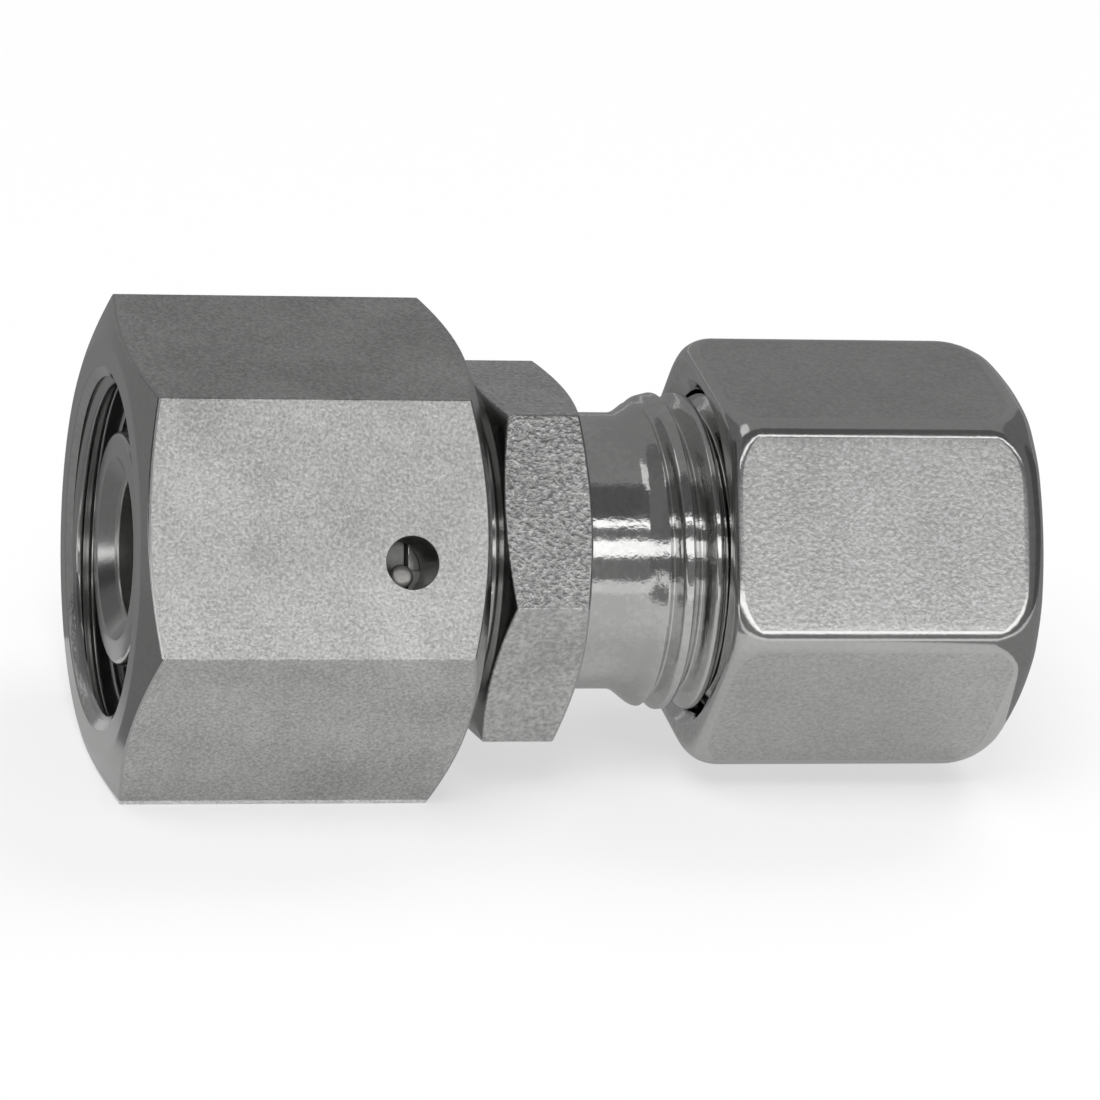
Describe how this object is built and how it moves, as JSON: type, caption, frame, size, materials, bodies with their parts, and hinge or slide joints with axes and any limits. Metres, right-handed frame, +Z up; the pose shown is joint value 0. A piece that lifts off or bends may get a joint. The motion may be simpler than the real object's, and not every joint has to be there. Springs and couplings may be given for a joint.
{
  "type": "reducing tube coupling",
  "caption": "Straight reducing tube coupling: swivel nut over an O-ring cone at one end, middle hexagon, compression nut with cutting ring for a smaller tube at the other.",
  "frame": {"origin": "on the ground under the middle of the whole length, with the larger nut lying on one flat", "axes": "+X along the coupling from the swivel nut to the compression nut, +Z up"},
  "size_m": [0.0462, 0.0254, 0.022],
  "materials": {
    "body_steel": "turned and bright-plated steel",
    "swivel_nut_steel": "drawn hexagon bar, fine satin grain",
    "tube_nut_steel": "tumbled and bright-plated, fine grain",
    "ring_steel": "turned steel, bright",
    "wire_steel": "drawn spring wire",
    "seal_rubber": "smooth matt rubber"
  },
  "bodies": {
    "fitting_body": {"body": "body_steel", "o_ring": "seal_rubber"},
    "swivel": {"swivel_nut": "swivel_nut_steel", "retaining_wire": "wire_steel"},
    "ring": {"cutting_ring": "ring_steel"},
    "compression_nut": {"tube_nut": "tube_nut_steel"}
  },
  "joints": [
    {"name": "swivel_turn", "type": "hinge", "parent": "fitting_body", "child": "swivel", "pos_m": [-0.0098, 0, 0.011], "axis": [1, 0, 0], "continuous": true},
    {"name": "nut_travel", "type": "slide", "parent": "fitting_body", "child": "ring", "axis": [1, 0, 0], "range_m": [0, 0.00901]},
    {"name": "nut_turn", "type": "hinge", "parent": "ring", "child": "compression_nut", "pos_m": [0.015, 0, 0.011], "axis": [1, 0, 0], "range_deg": [0, 2160]}
  ],
  "couplings": [
    {"joint": "nut_travel", "follows": "nut_turn", "m_per_rad": 0.00023873}
  ]
}
